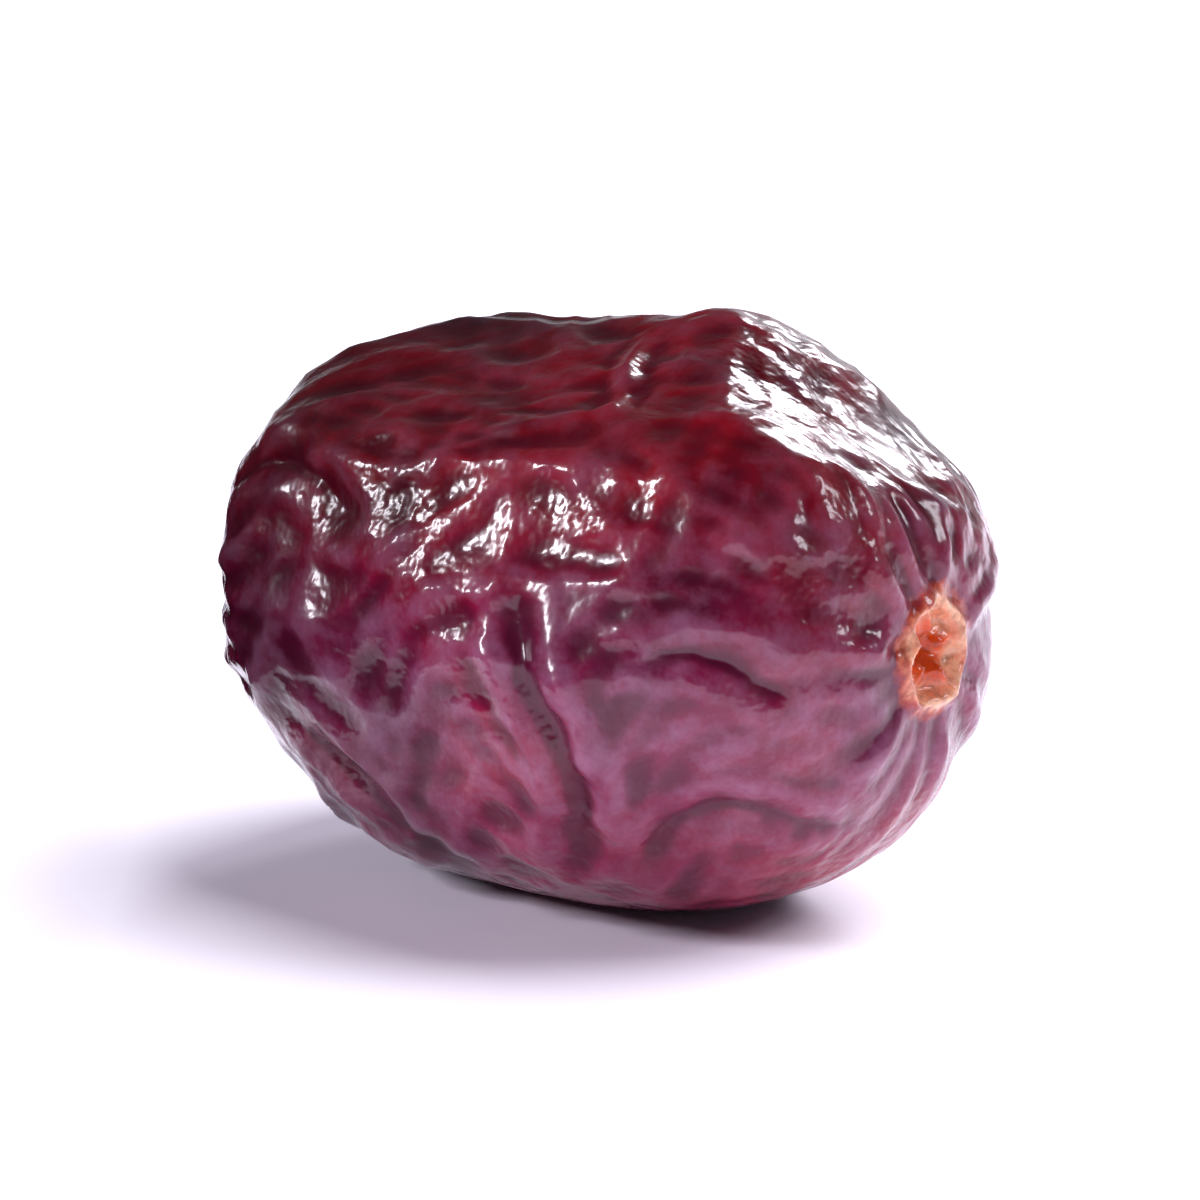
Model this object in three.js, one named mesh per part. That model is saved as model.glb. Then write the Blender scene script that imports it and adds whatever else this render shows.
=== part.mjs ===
// A whole dried cranberry, in millimetres, +Z up.
//
// The berry lies on its side. Its long axis runs along X: the blossom end, with the scar of the withered
// calyx, faces +X, and the stem end, with a small pit, faces -X. The front of the berry faces -Y. The origin
// is at the middle of its footprint, on the surface that it lies on.
//
// It is one closed solid. A round sphere of directions is drawn out to a barrel-like ovoid, pressed in by
// broad hollows where the flesh has shrunk, left standing between them, creased by folds, puckered at both
// ends, and cut flat where it rests.

import * as THREE from "three";
import { mergeVertices } from "three/addons/utils/BufferGeometryUtils.js";

// Driving dimensions of the plump ovoid before it is pressed in.
const LENGTH = 16.2;
const WIDTH = 12.0;
const HEIGHT = 11.9;
const BARREL = 2.7; // exponent along the berry: 2 is an ellipsoid, more is squarer
const RING = 2.25; // the same across it
const FOOT_DEPTH = 0.16; // how far the underside is cut flat

// The scar of the calyx, at the +X end. Its rim's width, its dish's edge and its lobes' span are shares of
// its radius. The waves of its edge are [amplitude, count, phase].
const SCAR_RADIUS = 1.02;
const SCAR_EDGE_WAVES = [[0.06, 3, 0.8], [0.04, 7, 2.0]];
const SCAR_RIM_HEIGHT = 0.14;
const SCAR_RIM_WIDTH = 0.16;
const SCAR_DISH_DEPTH = 0.26;
const SCAR_DISH_EDGE = [0.72, 1.0];
const SCAR_LOBES = 5;
const SCAR_LOBE_HEIGHT = 0.2;
const SCAR_LOBE_SHARPNESS = 1.5;
const SCAR_LOBE_TURN = 0.5;
const SCAR_LOBE_SPAN = [0.2, 0.42, 0.78, 0.98];
const SCAR_PIT_RADIUS = 0.24;
const SCAR_PIT_DEPTH = 0.36;

// The pit where the stem came away, at the -X end.
const STEM_DIMPLE_RADIUS = 1.9;
const STEM_DIMPLE_DEPTH = 0.65;
const STEM_PIT_RADIUS = 0.42;
const STEM_PIT_DEPTH = 0.55;

// Hollows: [station along X, turn about X in degrees, depth, curvature along the berry, curvature across
// it, softness of the edge]. A turn of 0 is the top, 90 the front and 180 the underside.
const HOLLOWS = [
  [0.2, 22, 1.0, 0.0, 0.02, 0.28],
  [5.7, -14, 0.95, 0.0, 0.03, 0.2],
  [2.7, 62, 0.5, 0.03, 0.04, 0.25],
  [-3.4, 70, 0.45, 0.03, 0.06, 0.25],
  [5.6, 128, 0.6, 0.03, 0.04, 0.22],
  [-1.8, 112, 0.5, 0.0, 0.05, 0.25],
  [-5.4, 128, 0.35, 0.03, 0.04, 0.25],
  [2.2, -84, 0.85, 0.02, 0.06, 0.25],
  [-3.2, -52, 0.6, 0.03, 0.05, 0.25],
  [-1.6, -118, 0.7, 0.02, 0.06, 0.25],
  [5.4, -132, 0.8, 0.02, 0.04, 0.22],
  [-5.8, -96, 0.4, 0.05, 0.05, 0.22],
];

// Swellings where the skin still stands out: [station, turn, height, radius].
const SWELLINGS = [
  [3.2, -22, 0.6, 2.2],
  [-5.4, 8, 0.25, 2.0],
  [3.9, 98, 0.3, 2.2],
];

// Folds: depth, half width, and the points that the fold runs through as [station, turn]. A fold of
// negative depth is a thin ridge.
const FOLDS = [
  { depth: 0.46, half: 0.34, route: [[2.5, 80], [2.9, 92], [3.6, 106], [3.6, 118], [3.0, 130]] },
  { depth: 0.26, half: 0.3, route: [[7.3, 150], [6.6, 128], [5.4, 126], [4.2, 136]] },
  { depth: 0.22, half: 0.28, route: [[7.2, 95], [6.4, 84], [5.4, 84]] },
  { depth: 0.26, half: 0.36, route: [[-4.6, 112], [-3.0, 122], [-1.2, 136], [0.8, 146]] },
  { depth: 0.26, half: 0.34, route: [[-6.6, 60], [-5.2, 54], [-3.6, 58], [-2.4, 66]] },
  { depth: -0.2, half: 0.2, route: [[1.0, -2], [1.3, 8], [2.0, 20], [2.6, 32]] },
  { depth: 0.3, half: 0.32, route: [[6.6, -70], [5.2, -62], [3.4, -56], [1.6, -50], [0.2, -54]] },
  { depth: 0.36, half: 0.34, route: [[-6.4, -30], [-4.6, -24], [-2.8, -22], [-1.2, -26]] },
  { depth: 0.4, half: 0.34, route: [[4.6, -92], [3.0, -104], [1.4, -100], [-0.4, -88], [-2.0, -86]] },
  { depth: 0.34, half: 0.3, route: [[-6.8, -70], [-5.2, -78], [-3.8, -88], [-3.2, -104]] },
  { depth: 0.3, half: 0.3, route: [[6.9, -110], [5.6, -128], [3.8, -140], [2.2, -138]] },
  { depth: 0.28, half: 0.3, route: [[-6.6, 165], [-5.0, 155], [-3.6, 148]] },
  { depth: 0.3, half: 0.3, route: [[-5.8, -150], [-4.2, -140], [-2.4, -138]] },
];

// The cut of every fold: how sharp and how rounded its bottom is, the lip at each side of it, as shares of
// its depth and half width, and how fast it fades towards its ends.
const FOLD_SHARPNESS = 1.5;
const FOLD_ROUNDING = 0.05;
const FOLD_LIP = { height: 0.3, place: 2.2, width: 0.9 };
const FOLD_FADE = { clear: 0.06, power: 0.6 };
const FOLD_CORNER_CUTS = 3;

// Puckers that run out from each end: amplitude, count round the end, lean, and phase.
const PUCKERS = [
  [0.075, 7, 0.35, 0.4],
  [0.045, 12, -0.5, 1.7],
  [0.03, 19, 0.8, 2.9],
];
const PUCKER_REACH = 3.4; // how far from an end they are felt
const PUCKER_SPREAD = 0.35; // how much sooner they fade away from the berry's axis
const PUCKER_START = [1.0, 2.2]; // where they rise beside the scar, as shares of its radius

// Wrinkles over the sides: amplitude and the wave's direction, whose length sets its pitch.
const WRINKLES = [
  [0.05, 0.9, 2.6, 1.4],
  [0.045, -1.3, 1.5, 3.1],
  [0.03, 2.4, -3.0, 2.2],
  [0.022, 3.6, 3.4, -3.9],
];

// How the wrinkles wander along each axis: amplitude, the wave's direction, and its phase.
const WANDER_X = [0.6, 0, 0.7, 0.9, 0];
const WANDER_Y = [0.5, 1.1, 0, 0, 1.3];
const WANDER_Z = [0.5, 1.2, -0.6, 0, 0];

// The relief fades out underneath, between these slopes, where 1 is level.
const UNDERSIDE = [0.8, 0.95];

// Where the triangles are drawn together, because the relief is finest at the ends.
const DETAIL = 20;
const CROWD_ENDS = 0.2;
const CROWD_SCAR = 0.42;

const degrees = (angle) => (angle * Math.PI) / 180;
const bell = (x) => Math.exp(-x * x);
const softEdge = (x, width) => (x > 30 * width ? x : width * Math.log1p(Math.exp(x / width)));
const smoothStep = (low, high, x) => THREE.MathUtils.smoothstep(x, low, high);

// The plump ovoid's surface in a direction.
function ovoid(direction) {
  const { x, y, z } = direction;
  const across = (Math.abs(y) ** RING + Math.abs(z) ** RING) ** (BARREL / RING);
  const size = (Math.abs(x) ** BARREL + across) ** (1 / BARREL);
  return new THREE.Vector3((x * LENGTH) / 2, (y * WIDTH) / 2, (z * HEIGHT) / 2).divideScalar(size);
}

// The outward normal of the ovoid at a point on it.
function ovoidNormal(point) {
  const share = new THREE.Vector3((2 * point.x) / LENGTH, (2 * point.y) / WIDTH, (2 * point.z) / HEIGHT);
  const across = (Math.abs(share.y) ** RING + Math.abs(share.z) ** RING) ** (1 / RING);
  const grow = (value, power, size) => (Math.sign(value) * Math.abs(value) ** (power - 1)) / size;
  const lean = Math.max(across, 1e-9) ** (BARREL - RING);
  return new THREE.Vector3(
    grow(share.x, BARREL, LENGTH),
    lean * grow(share.y, RING, WIDTH),
    lean * grow(share.z, RING, HEIGHT),
  ).normalize();
}

// The point on the ovoid at a station along X and a turn about X.
function onOvoid(station, turn) {
  const reach = (1 - Math.abs((2 * station) / LENGTH) ** BARREL) ** (1 / BARREL);
  const y = -Math.sin(degrees(turn));
  const z = Math.cos(degrees(turn));
  const size = (Math.abs(y) ** RING + Math.abs(z) ** RING) ** (1 / RING);
  return new THREE.Vector3(station, (y * reach * WIDTH) / 2 / size, (z * reach * HEIGHT) / 2 / size);
}

// Each hollow as a shallow paraboloid that stands across the skin, with its own axes.
const hollows = HOLLOWS.map(([station, turn, depth, bendAlong, bendAcross, edge]) => {
  const middle = onOvoid(station, turn);
  const out = ovoidNormal(middle);
  const across = new THREE.Vector3().crossVectors(out, new THREE.Vector3(1, 0, 0)).normalize();
  const along = new THREE.Vector3().crossVectors(across, out);
  return { middle, out, across, along, depth, bendAlong, bendAcross, edge };
});

// Presses a point in where it stands above a hollow's paraboloid.
function pressIn(point) {
  for (const { middle, out, across, along, depth, bendAlong, bendAcross, edge } of hollows) {
    const offset = point.clone().sub(middle);
    const u = offset.dot(along);
    const v = offset.dot(across);
    const floor = -depth + 0.5 * (bendAlong * u * u + bendAcross * v * v);
    point.addScaledVector(out, -softEdge(offset.dot(out) - floor, edge));
  }
}

const swellings = SWELLINGS.map(([station, turn, height, radius]) => ({
  middle: onOvoid(station, turn),
  height,
  radius,
}));

// How far the swellings push the skin out at a point of the ovoid.
function swell(point) {
  return swellings.reduce((sum, { middle, height, radius }) => {
    return sum + height * bell(point.distanceTo(middle) / radius);
  }, 0);
}

// A route of [station, turn] with its corners cut, as a line on the ovoid.
function foldLine(route) {
  let places = route;
  for (let pass = 0; pass < FOLD_CORNER_CUTS; pass += 1) {
    const cut = [places[0]];
    for (let i = 0; i + 1 < places.length; i += 1) {
      const [a, b] = [places[i], places[i + 1]];
      cut.push([0.75 * a[0] + 0.25 * b[0], 0.75 * a[1] + 0.25 * b[1]]);
      cut.push([0.25 * a[0] + 0.75 * b[0], 0.25 * a[1] + 0.75 * b[1]]);
    }
    cut.push(places[places.length - 1]);
    places = cut;
  }
  return places.map(([station, turn]) => onOvoid(station, turn));
}

const folds = FOLDS.map(({ depth, half, route }) => ({ depth, half, line: foldLine(route) }));

// How deep the folds cut at a point of the ovoid, with a low lip on both sides of each.
function foldDepth(point) {
  const piece = new THREE.Line3();
  const foot = new THREE.Vector3();
  let sum = 0;
  for (const { depth, half, line } of folds) {
    let away = Infinity;
    let at = 0;
    for (let i = 0; i + 1 < line.length; i += 1) {
      piece.set(line[i], line[i + 1]);
      const t = piece.closestPointToPointParameter(point, true);
      const distance = piece.at(t, foot).distanceTo(point);
      if (distance < away) [away, at] = [distance, (i + t) / (line.length - 1)];
    }
    const x = away / half;
    const along = THREE.MathUtils.clamp(at, FOLD_FADE.clear, 1 - FOLD_FADE.clear);
    const taper = Math.sin(Math.PI * along) ** FOLD_FADE.power;
    const groove = Math.exp(-FOLD_SHARPNESS * Math.sqrt(x * x + FOLD_ROUNDING));
    sum += depth * taper * (groove - FOLD_LIP.height * bell((x - FOLD_LIP.place) / FOLD_LIP.width));
  }
  return sum;
}

// The relief of the calyx scar, outwards along X, at a distance and an angle about its middle.
function scarRelief(radius, angle) {
  const t = radius / SCAR_RADIUS;
  const waves = SCAR_EDGE_WAVES.map(([size, count, phase]) => size * Math.sin(count * angle + phase));
  const edge = 1 + waves[0] + waves[1];
  const rim = SCAR_RIM_HEIGHT * bell((t - edge) / SCAR_RIM_WIDTH);
  const dish = -SCAR_DISH_DEPTH * (1 - smoothStep(...SCAR_DISH_EDGE, t / edge));
  const lobe = 0.5 + 0.5 * Math.cos(SCAR_LOBES * angle + SCAR_LOBE_TURN);
  const [from, full, fading, to] = SCAR_LOBE_SPAN;
  const inside = smoothStep(from, full, t) * (1 - smoothStep(fading, to, t));
  const lobes = SCAR_LOBE_HEIGHT * lobe ** SCAR_LOBE_SHARPNESS * inside;
  const pit = -SCAR_PIT_DEPTH * bell(radius / SCAR_PIT_RADIUS);
  return rim + dish + lobes + pit;
}

// The dimple and the pit at the stem end, inwards along X.
function stemDepth(radius) {
  const dimple = STEM_DIMPLE_DEPTH * bell(radius / STEM_DIMPLE_RADIUS);
  return dimple + STEM_PIT_DEPTH * bell(radius / STEM_PIT_RADIUS);
}

// How far a point's wrinkles wander along one axis.
function wander(point, [amplitude, x, y, z, phase]) {
  return amplitude * Math.sin(x * point.x + y * point.y + z * point.z + phase);
}

// Puckers and wrinkles, outwards, at a point of the ovoid.
function fineRelief(point) {
  const turn = Math.atan2(-point.y, point.z);
  const radius = Math.hypot(point.y, point.z);
  const fromEnd = LENGTH / 2 - Math.abs(point.x) + PUCKER_SPREAD * radius;
  const side = Math.sign(point.x);
  const endShare = bell(fromEnd / PUCKER_REACH) * smoothStep(...PUCKER_START, radius / SCAR_RADIUS);
  let sum = 0;
  for (const [amplitude, count, lean, phase] of PUCKERS) {
    sum += endShare * amplitude * Math.cos(count * turn + lean * side * fromEnd + phase + side);
  }
  const bendX = point.x + wander(point, WANDER_X);
  const bendY = point.y + wander(point, WANDER_Y);
  const bendZ = point.z + wander(point, WANDER_Z);
  for (const [amplitude, x, y, z] of WRINKLES) {
    const wave = Math.sin(0.5 * (x * bendX + y * bendY + z * bendZ));
    sum += (1 - endShare) * amplitude * (1 - 2 * Math.abs(wave));
  }
  return sum;
}

// The skin of the dried berry in a direction, about the middle of the ovoid.
function skin(direction) {
  const plump = ovoid(direction);
  const out = ovoidNormal(plump);
  const radius = Math.hypot(plump.y, plump.z);
  const underside = smoothStep(...UNDERSIDE, -out.z);
  const point = plump.clone();
  pressIn(point);
  point.addScaledVector(out, (1 - underside) * (swell(plump) + fineRelief(plump) - foldDepth(plump)));
  if (plump.x > 0) point.x += scarRelief(radius, Math.atan2(-plump.y, plump.z));
  else point.x += stemDepth(radius);
  return point;
}

// Draws a direction towards the ends, so that the triangles are smallest there.
function crowd(direction) {
  const angle = Math.acos(THREE.MathUtils.clamp(direction.x, -1, 1));
  const nearScar = (1 + Math.cos(angle)) / 2;
  const moved = angle - Math.sin(angle) * (CROWD_ENDS * Math.cos(angle) + CROWD_SCAR * nearScar);
  const round = Math.hypot(direction.y, direction.z);
  const scale = round > 1e-9 ? Math.sin(moved) / round : 0;
  return new THREE.Vector3(Math.cos(moved), direction.y * scale, direction.z * scale);
}

// A closed geometry of merged vertices, from a subdivided icosahedron.
function berryGeometry() {
  const ball = new THREE.IcosahedronGeometry(1, DETAIL);
  ball.deleteAttribute("normal");
  ball.deleteAttribute("uv");
  const geometry = mergeVertices(ball, 1e-4);
  const positions = geometry.attributes.position;
  for (let i = 0; i < positions.count; i += 1) {
    const direction = new THREE.Vector3().fromBufferAttribute(positions, i).normalize();
    const point = skin(crowd(direction));
    positions.setXYZ(i, point.x, point.y, point.z);
  }
  restOnFlat(geometry);
  geometry.computeVertexNormals();
  return geometry;
}

// Cuts the underside flat and moves the berry so that the middle of its footprint is the origin.
function restOnFlat(geometry) {
  geometry.computeBoundingBox();
  const floor = geometry.boundingBox.min.z + FOOT_DEPTH;
  const positions = geometry.attributes.position;
  for (let i = 0; i < positions.count; i += 1) positions.setZ(i, Math.max(positions.getZ(i), floor));
  geometry.computeBoundingBox();
  const middle = geometry.boundingBox.getCenter(new THREE.Vector3());
  geometry.translate(-middle.x, -middle.y, -floor);
}

const skinMaterial = new THREE.MeshStandardMaterial({ color: 0x4a0c18, roughness: 0.28, metalness: 0 });

const cranberry = new THREE.Group();
const berry = new THREE.Mesh(berryGeometry(), skinMaterial);
berry.name = "dried_cranberry";
cranberry.add(berry);

export default cranberry;
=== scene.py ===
"""A whole dried cranberry lying on its side on a pale table under soft studio light.

The fruit is one piece. Its skin is modelled in millimetres about the middle of a plump ovoid, pressed in,
folded, puckered and wrinkled as it dries, and then set down on the table in metres.
"""

import logging
import math
from dataclasses import dataclass
from enum import Enum
from typing import NamedTuple

import bmesh
import bpy
import numpy as np
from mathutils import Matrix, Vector


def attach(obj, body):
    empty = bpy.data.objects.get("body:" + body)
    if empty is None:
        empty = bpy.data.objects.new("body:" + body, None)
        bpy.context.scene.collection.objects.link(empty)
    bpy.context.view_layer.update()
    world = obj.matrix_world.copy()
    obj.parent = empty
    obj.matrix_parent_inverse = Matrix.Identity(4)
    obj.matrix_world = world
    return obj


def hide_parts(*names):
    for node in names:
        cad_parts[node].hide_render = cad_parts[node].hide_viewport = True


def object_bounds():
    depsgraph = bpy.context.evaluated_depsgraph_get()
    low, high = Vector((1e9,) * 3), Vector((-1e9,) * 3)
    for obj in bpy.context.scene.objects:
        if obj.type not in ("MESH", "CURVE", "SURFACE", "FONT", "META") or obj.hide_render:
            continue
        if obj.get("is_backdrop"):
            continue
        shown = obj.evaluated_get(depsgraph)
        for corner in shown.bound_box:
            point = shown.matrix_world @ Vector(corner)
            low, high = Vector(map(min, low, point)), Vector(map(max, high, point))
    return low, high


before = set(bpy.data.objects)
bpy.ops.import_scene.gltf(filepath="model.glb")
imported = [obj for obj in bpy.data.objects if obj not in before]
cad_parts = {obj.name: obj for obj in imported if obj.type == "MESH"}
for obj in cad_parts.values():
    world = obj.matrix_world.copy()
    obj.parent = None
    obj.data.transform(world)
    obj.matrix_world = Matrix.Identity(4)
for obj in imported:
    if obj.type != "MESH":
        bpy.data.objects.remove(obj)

LOG = logging.getLogger("dried_cranberry")
MM = 0.001
TINY = 1e-9
NODE = "dried_cranberry"

# Values that the mesh carries at its points: the buckles' relief, while it is built, and the crests.
BUCKLED = "buckled"
CREST = "crest"

# What a node's input can be linked to, and the stops of a colour ramp: position and hex colour.
Link = bpy.types.Node | bpy.types.NodeSocket
Stops = tuple[tuple[float, str], ...]


class Relief(Enum):
    """How a line on the skin stands against it."""

    FOLD = 1.0
    RIDGE = -1.0


def bell(x: np.ndarray) -> np.ndarray:
    """A smooth bump of height 1 at 0."""
    return np.exp(-x * x)


def smooth_step(low: float, high: float, x: np.ndarray) -> np.ndarray:
    """A smooth rise from 0 at low to 1 at high."""
    t = np.clip((x - low) / (high - low), 0.0, 1.0)
    return t * t * (3 - 2 * t)


def soft_edge(x: np.ndarray, width: float) -> np.ndarray:
    """The positive part of x, with its corner rounded over width."""
    return width * np.logaddexp(0.0, x / width)


# A place on the berry is a station along X in mm and a turn about X in degrees: 0 is the top, 90 the front.


@dataclass(frozen=True)
class Hollow:
    """A broad hollow where the flesh has shrunk, with how it bends along and across the berry."""

    station: float
    turn: float
    depth: float
    bend_along: float
    bend_across: float
    edge: float


@dataclass(frozen=True)
class Swelling:
    """A broad place where the skin still stands out."""

    station: float
    turn: float
    height: float
    radius: float


@dataclass(frozen=True)
class Crease:
    """A fold or a ridge that runs through points of (station, turn)."""

    relief: Relief
    depth: float
    half: float
    route: tuple[tuple[float, float], ...]


HOLLOWS = (
    Hollow(0.2, 22, 1.0, 0.0, 0.02, 0.28),
    Hollow(5.7, -14, 0.95, 0.0, 0.03, 0.2),
    Hollow(2.7, 62, 0.5, 0.03, 0.04, 0.25),
    Hollow(-3.4, 70, 0.45, 0.03, 0.06, 0.25),
    Hollow(5.6, 128, 0.6, 0.03, 0.04, 0.22),
    Hollow(-1.8, 112, 0.5, 0.0, 0.05, 0.25),
    Hollow(-5.4, 128, 0.35, 0.03, 0.04, 0.25),
    Hollow(2.2, -84, 0.85, 0.02, 0.06, 0.25),
    Hollow(-3.2, -52, 0.6, 0.03, 0.05, 0.25),
    Hollow(-1.6, -118, 0.7, 0.02, 0.06, 0.25),
    Hollow(5.4, -132, 0.8, 0.02, 0.04, 0.22),
    Hollow(-5.8, -96, 0.4, 0.05, 0.05, 0.22),
)

SWELLINGS = (
    Swelling(3.2, -22, 0.6, 2.2),
    Swelling(-5.4, 8, 0.25, 2.0),
    Swelling(3.9, 98, 0.3, 2.2),
)

CREASES = (
    Crease(Relief.FOLD, 0.46, 0.34, ((2.5, 80), (2.9, 92), (3.6, 106), (3.6, 118), (3.0, 130))),
    Crease(Relief.FOLD, 0.26, 0.3, ((7.3, 150), (6.6, 128), (5.4, 126), (4.2, 136))),
    Crease(Relief.FOLD, 0.22, 0.28, ((7.2, 95), (6.4, 84), (5.4, 84))),
    Crease(Relief.FOLD, 0.26, 0.36, ((-4.6, 112), (-3.0, 122), (-1.2, 136), (0.8, 146))),
    Crease(Relief.FOLD, 0.26, 0.34, ((-6.6, 60), (-5.2, 54), (-3.6, 58), (-2.4, 66))),
    Crease(Relief.RIDGE, 0.2, 0.2, ((1.0, -2), (1.3, 8), (2.0, 20), (2.6, 32))),
    Crease(Relief.FOLD, 0.3, 0.32, ((6.6, -70), (5.2, -62), (3.4, -56), (1.6, -50), (0.2, -54))),
    Crease(Relief.FOLD, 0.36, 0.34, ((-6.4, -30), (-4.6, -24), (-2.8, -22), (-1.2, -26))),
    Crease(Relief.FOLD, 0.4, 0.34, ((4.6, -92), (3.0, -104), (1.4, -100), (-0.4, -88), (-2.0, -86))),
    Crease(Relief.FOLD, 0.34, 0.3, ((-6.8, -70), (-5.2, -78), (-3.8, -88), (-3.2, -104))),
    Crease(Relief.FOLD, 0.3, 0.3, ((6.9, -110), (5.6, -128), (3.8, -140), (2.2, -138))),
    Crease(Relief.FOLD, 0.28, 0.3, ((-6.6, 165), (-5.0, 155), (-3.6, 148))),
    Crease(Relief.FOLD, 0.3, 0.3, ((-5.8, -150), (-4.2, -140), (-2.4, -138))),
)

# Puckers that run out from each end: amplitude, count round the end, lean and phase.
PUCKERS = ((0.075, 7, 0.35, 0.4), (0.045, 12, -0.5, 1.7), (0.03, 19, 0.8, 2.9))

# Wrinkles over the sides: amplitude and the wave's direction, whose length sets its pitch.
WRINKLES = (
    (0.05, 0.9, 2.6, 1.4),
    (0.045, -1.3, 1.5, 3.1),
    (0.03, 2.4, -3.0, 2.2),
    (0.022, 3.6, 3.4, -3.9),
)

# How the wrinkles wander along X, Y and Z: amplitude, the wave's direction and its phase.
WANDERS = (
    (0.6, 0.0, 0.7, 0.9, 0.0),
    (0.5, 1.1, 0.0, 0.0, 1.3),
    (0.5, 1.2, -0.6, 0.0, 0.0),
)

# Where the skin is crumpled: directions and phases of broad waves, and their sums from smooth to crumpled.
PATCH_WAVES = ((0.7, 0.9, 0.0, 1.1), (-0.6, 0.0, 0.8, 2.3), (0.0, 0.9, -0.7, 0.4))
PATCH_RISE = (-0.6, 1.6)

# How much of its own value a point keeps when values are smoothed over a mesh.
KEPT = 0.3


@dataclass(frozen=True)
class CreaseCut:
    """The cut that all creases share, in shares of their depth and half width."""

    sharpness: float = 1.5
    rounding: float = 0.05
    lip_height: float = 0.3
    lip_place: float = 2.2
    lip_width: float = 0.9
    end_clear: float = 0.06
    end_power: float = 0.6

    def share(self, across: np.ndarray, at: np.ndarray) -> np.ndarray:
        """Works out how deep the cut is.

        Args:
            across: Distances from the crease, in half widths.
            at: Places along it, from 0 to 1.

        Returns:
            The share of the crease's depth. Its lips count below zero.
        """
        groove = np.exp(-self.sharpness * np.sqrt(across * across + self.rounding))
        lip = self.lip_height * bell((across - self.lip_place) / self.lip_width)
        taper = np.sin(np.pi * np.clip(at, self.end_clear, 1 - self.end_clear)) ** self.end_power
        return taper * (groove - lip)


@dataclass(frozen=True)
class Scar:
    """The scar of the withered calyx, at the blossom end. Widths and spans are shares of its radius."""

    radius: float = 1.02
    edge_waves: tuple[tuple[float, int, float], ...] = ((0.06, 3, 0.8), (0.04, 7, 2.0))
    rim_height: float = 0.14
    rim_width: float = 0.16
    dish_depth: float = 0.26
    dish_edge: tuple[float, float] = (0.72, 1.0)
    lobes: int = 5
    lobe_height: float = 0.2
    lobe_sharpness: float = 1.5
    lobe_turn: float = 0.5
    lobe_rise: tuple[float, float] = (0.2, 0.42)
    lobe_fall: tuple[float, float] = (0.78, 0.98)
    pit_radius: float = 0.24
    pit_depth: float = 0.36

    def relief(self, radius: np.ndarray, angle: np.ndarray) -> np.ndarray:
        """Works out how far the scar stands out along the berry's axis.

        Args:
            radius: Distances from the middle of the scar, in mm.
            angle: Angles about it.

        Returns:
            The relief in mm.
        """
        t = radius / self.radius
        edge = 1 + sum(size * np.sin(count * angle + phase) for size, count, phase in self.edge_waves)
        rim = self.rim_height * bell((t - edge) / self.rim_width)
        dish = -self.dish_depth * (1 - smooth_step(*self.dish_edge, t / edge))
        lobe = 0.5 + 0.5 * np.cos(self.lobes * angle + self.lobe_turn)
        inside = smooth_step(*self.lobe_rise, t) * (1 - smooth_step(*self.lobe_fall, t))
        lobes = self.lobe_height * lobe**self.lobe_sharpness * inside
        return rim + dish + lobes - self.pit_depth * bell(radius / self.pit_radius)


@dataclass(frozen=True)
class StemEnd:
    """The dimple and the pit where the stem came away."""

    dimple_radius: float = 1.9
    dimple_depth: float = 0.65
    pit_radius: float = 0.42
    pit_depth: float = 0.55

    def depth(self, radius: np.ndarray) -> np.ndarray:
        """How far the end is drawn in along the berry's axis, in mm."""
        dimple = self.dimple_depth * bell(radius / self.dimple_radius)
        return dimple + self.pit_depth * bell(radius / self.pit_radius)


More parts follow.
